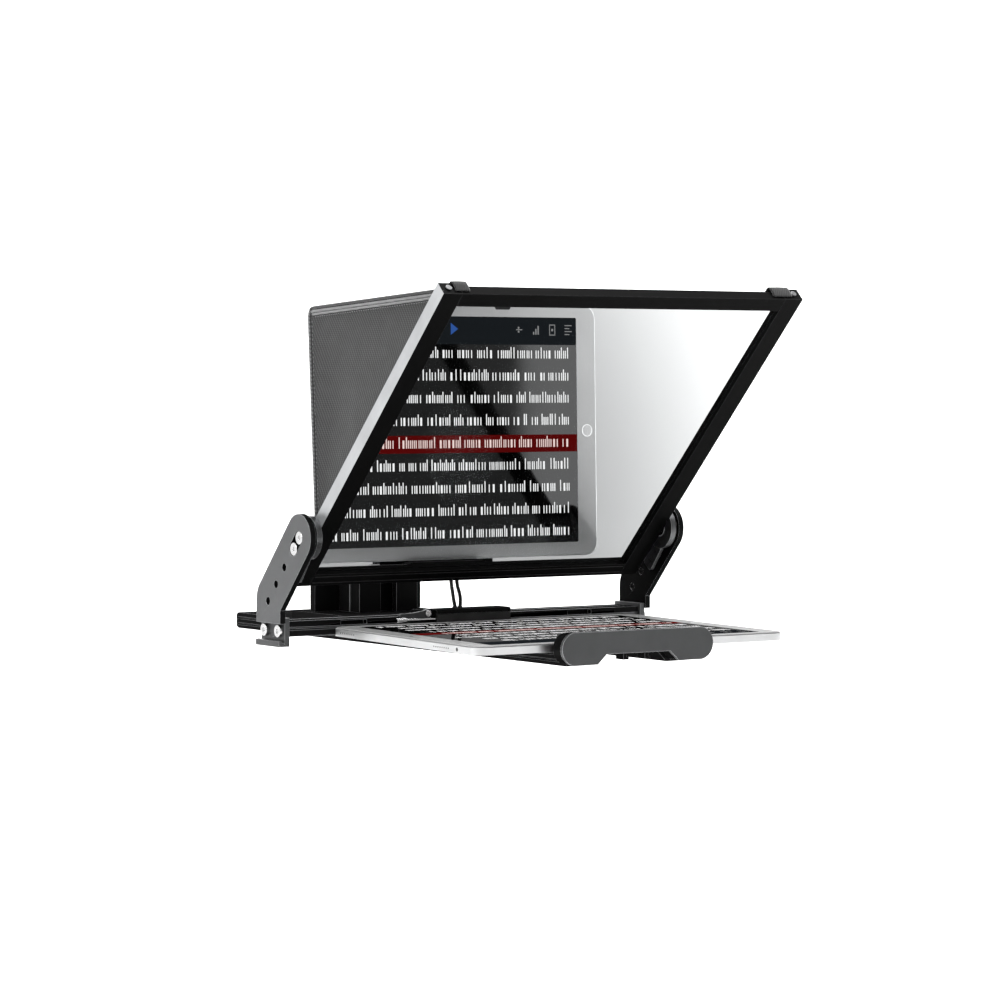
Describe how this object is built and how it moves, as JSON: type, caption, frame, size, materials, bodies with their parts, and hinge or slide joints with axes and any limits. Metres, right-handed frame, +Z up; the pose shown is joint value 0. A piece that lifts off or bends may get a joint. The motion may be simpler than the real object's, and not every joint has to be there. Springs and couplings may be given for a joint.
{
  "type": "teleprompter",
  "caption": "Beam-splitter teleprompter: tilting hooded glass frame on side arms, over a rail that holds a tablet flat in front and a camera riser behind.",
  "frame": {"origin": "centre of the tripod seat, on the underside of the base rail", "axes": "+X to the right as the presenter sees it, +Y from the presenter towards the camera along the rail, +Z up"},
  "size_m": [0.376, 0.5475, 0.3004],
  "materials": {
    "black_anodised": "satin black anodised",
    "grey_anodised": "satin dark grey anodised",
    "bare_aluminium": "fine machined silver",
    "steel": "bright plated",
    "rubber": "matt black",
    "hood_fabric": "grey-black twill with sewn edges",
    "cord_fabric": "black braided",
    "black_plastic": "moulded",
    "beam_splitter": "clear with a half-mirror coating",
    "screen_glass": "polished black"
  },
  "bodies": {
    "base": {"base_rail": "black_anodised", "rail_end_cap": "black_anodised", "tripod_shoe": "steel", "tablet_rest_pad": "rubber", "crossbar": "black_anodised", "end_bracket_left": "grey_anodised", "arm_left": "grey_anodised", "hinge_boss_left": "black_anodised", "end_bracket_right": "grey_anodised", "arm_right": "grey_anodised", "hinge_boss_right": "black_anodised", "bracket_screw_left_1": "steel", "bracket_screw_left_2": "steel", "arm_screw_left_1": "steel", "arm_screw_left_2": "steel", "bracket_screw_right_1": "steel", "bracket_screw_right_2": "steel", "arm_screw_right_1": "steel", "arm_screw_right_2": "steel"},
    "holder": {"holder_plate": "grey_anodised", "holder_body": "black_anodised", "holder_pad": "rubber", "holder_guide_left": "steel", "holder_guide_right": "steel"},
    "holder_lock": {"holder_lock_knob": "black_anodised"},
    "jaw": {"rear_jaw": "black_anodised", "rear_jaw_pad": "rubber", "jaw_lever_screw": "steel"},
    "jaw_lever": {"jaw_lock_lever": "grey_anodised"},
    "jaw_screw": {"jaw_thumb_screw": "steel"},
    "tablet": {"tablet_body": "bare_aluminium", "tablet_screen": "screen_glass"},
    "glass_frame": {"frame_bar_left": "black_anodised", "frame_bar_right": "black_anodised", "frame_bar_top": "black_anodised", "frame_bar_bottom": "black_anodised", "beam_splitter_glass": "beam_splitter", "glass_retainer_top": "black_anodised", "glass_retainer_bottom": "black_anodised", "frame_screw_left": "steel", "frame_screw_right": "steel", "hood_side_left": "hood_fabric", "hood_side_right": "hood_fabric", "hood_top": "hood_fabric", "hood_rear": "hood_fabric", "hood_sleeve": "hood_fabric", "cord_lock": "black_plastic", "drawstring_left": "cord_fabric", "drawstring_right": "cord_fabric"},
    "tilt_lever_left": {"tilt_lock_left": "bare_aluminium"},
    "tilt_lever_right": {"tilt_lock_right": "bare_aluminium"},
    "carriage": {"carriage_plate": "black_anodised", "riser_column": "black_anodised"},
    "carriage_lock": {"carriage_lock_knob": "black_anodised"},
    "lift": {"lift_bracket": "black_anodised", "quick_release_clamp": "black_anodised"},
    "lift_lock": {"lift_lock_knob": "black_anodised"},
    "clamp_lock": {"clamp_knob": "black_anodised"},
    "camera_plate": {"quick_release_plate": "grey_anodised"},
    "camera_bolt": {"camera_screw": "steel"}
  },
  "joints": [
    {"name": "frame_tilt", "type": "hinge", "parent": "base", "child": "glass_frame", "pos_m": [0, -0.139, 0.0976], "axis": [1, 0, 0], "range_deg": [0, 45]},
    {"name": "tilt_lever_left_turn", "type": "hinge", "parent": "base", "child": "tilt_lever_left", "pos_m": [-0.1779, -0.139, 0.0976], "axis": [1, 0, 0], "range_deg": [0, 50]},
    {"name": "tilt_lever_right_turn", "type": "hinge", "parent": "base", "child": "tilt_lever_right", "pos_m": [0.1779, -0.139, 0.0976], "axis": [1, 0, 0], "range_deg": [0, 50]},
    {"name": "holder_slide", "type": "slide", "parent": "base", "child": "holder", "axis": [0, -1, 0], "range_m": [0, 0.04]},
    {"name": "holder_lock_turn", "type": "hinge", "parent": "base", "child": "holder_lock", "pos_m": [0.06, -0.293, 0.0054], "axis": [1, 0, 0], "range_deg": [-180, 180]},
    {"name": "jaw_slide", "type": "slide", "parent": "base", "child": "jaw", "axis": [1, 0, 0], "range_m": [-0.03, 0.03]},
    {"name": "jaw_lever_turn", "type": "hinge", "parent": "jaw", "child": "jaw_lever", "pos_m": [-0.0435, -0.107, 0.0293], "axis": [0, 1, 0], "range_deg": [0, 65]},
    {"name": "jaw_screw_turn", "type": "hinge", "parent": "jaw", "child": "jaw_screw", "pos_m": [-0.06, -0.1109, 0.0244], "axis": [1, 0, 0], "range_deg": [-180, 180]},
    {"name": "tablet_lift", "type": "slide", "parent": "base", "child": "tablet", "axis": [0, 0, 1], "range_m": [0, 0.025]},
    {"name": "carriage_slide", "type": "slide", "parent": "base", "child": "carriage", "axis": [0, 1, 0], "range_m": [-0.01, 0.09]},
    {"name": "carriage_lock_turn", "type": "hinge", "parent": "carriage", "child": "carriage_lock", "pos_m": [0, 0.07, 0.004], "axis": [0, 0, 1], "range_deg": [-180, 180]},
    {"name": "lift_slide", "type": "slide", "parent": "carriage", "child": "lift", "axis": [0, 0, 1], "range_m": [0, 0.03]},
    {"name": "lift_lock_turn", "type": "hinge", "parent": "lift", "child": "lift_lock", "pos_m": [0, 0.075, 0.047], "axis": [0, 1, 0], "range_deg": [-180, 180]},
    {"name": "clamp_knob_turn", "type": "hinge", "parent": "lift", "child": "clamp_lock", "pos_m": [0.042, 0.107, 0.0805], "axis": [1, 0, 0], "range_deg": [-180, 180]},
    {"name": "camera_plate_slide", "type": "slide", "parent": "lift", "child": "camera_plate", "axis": [0, 1, 0], "range_m": [-0.03, 0.03]},
    {"name": "camera_screw_turn", "type": "hinge", "parent": "camera_plate", "child": "camera_bolt", "pos_m": [0, 0.095, 0.085], "axis": [0, 0, 1], "range_deg": [-180, 180]}
  ]
}
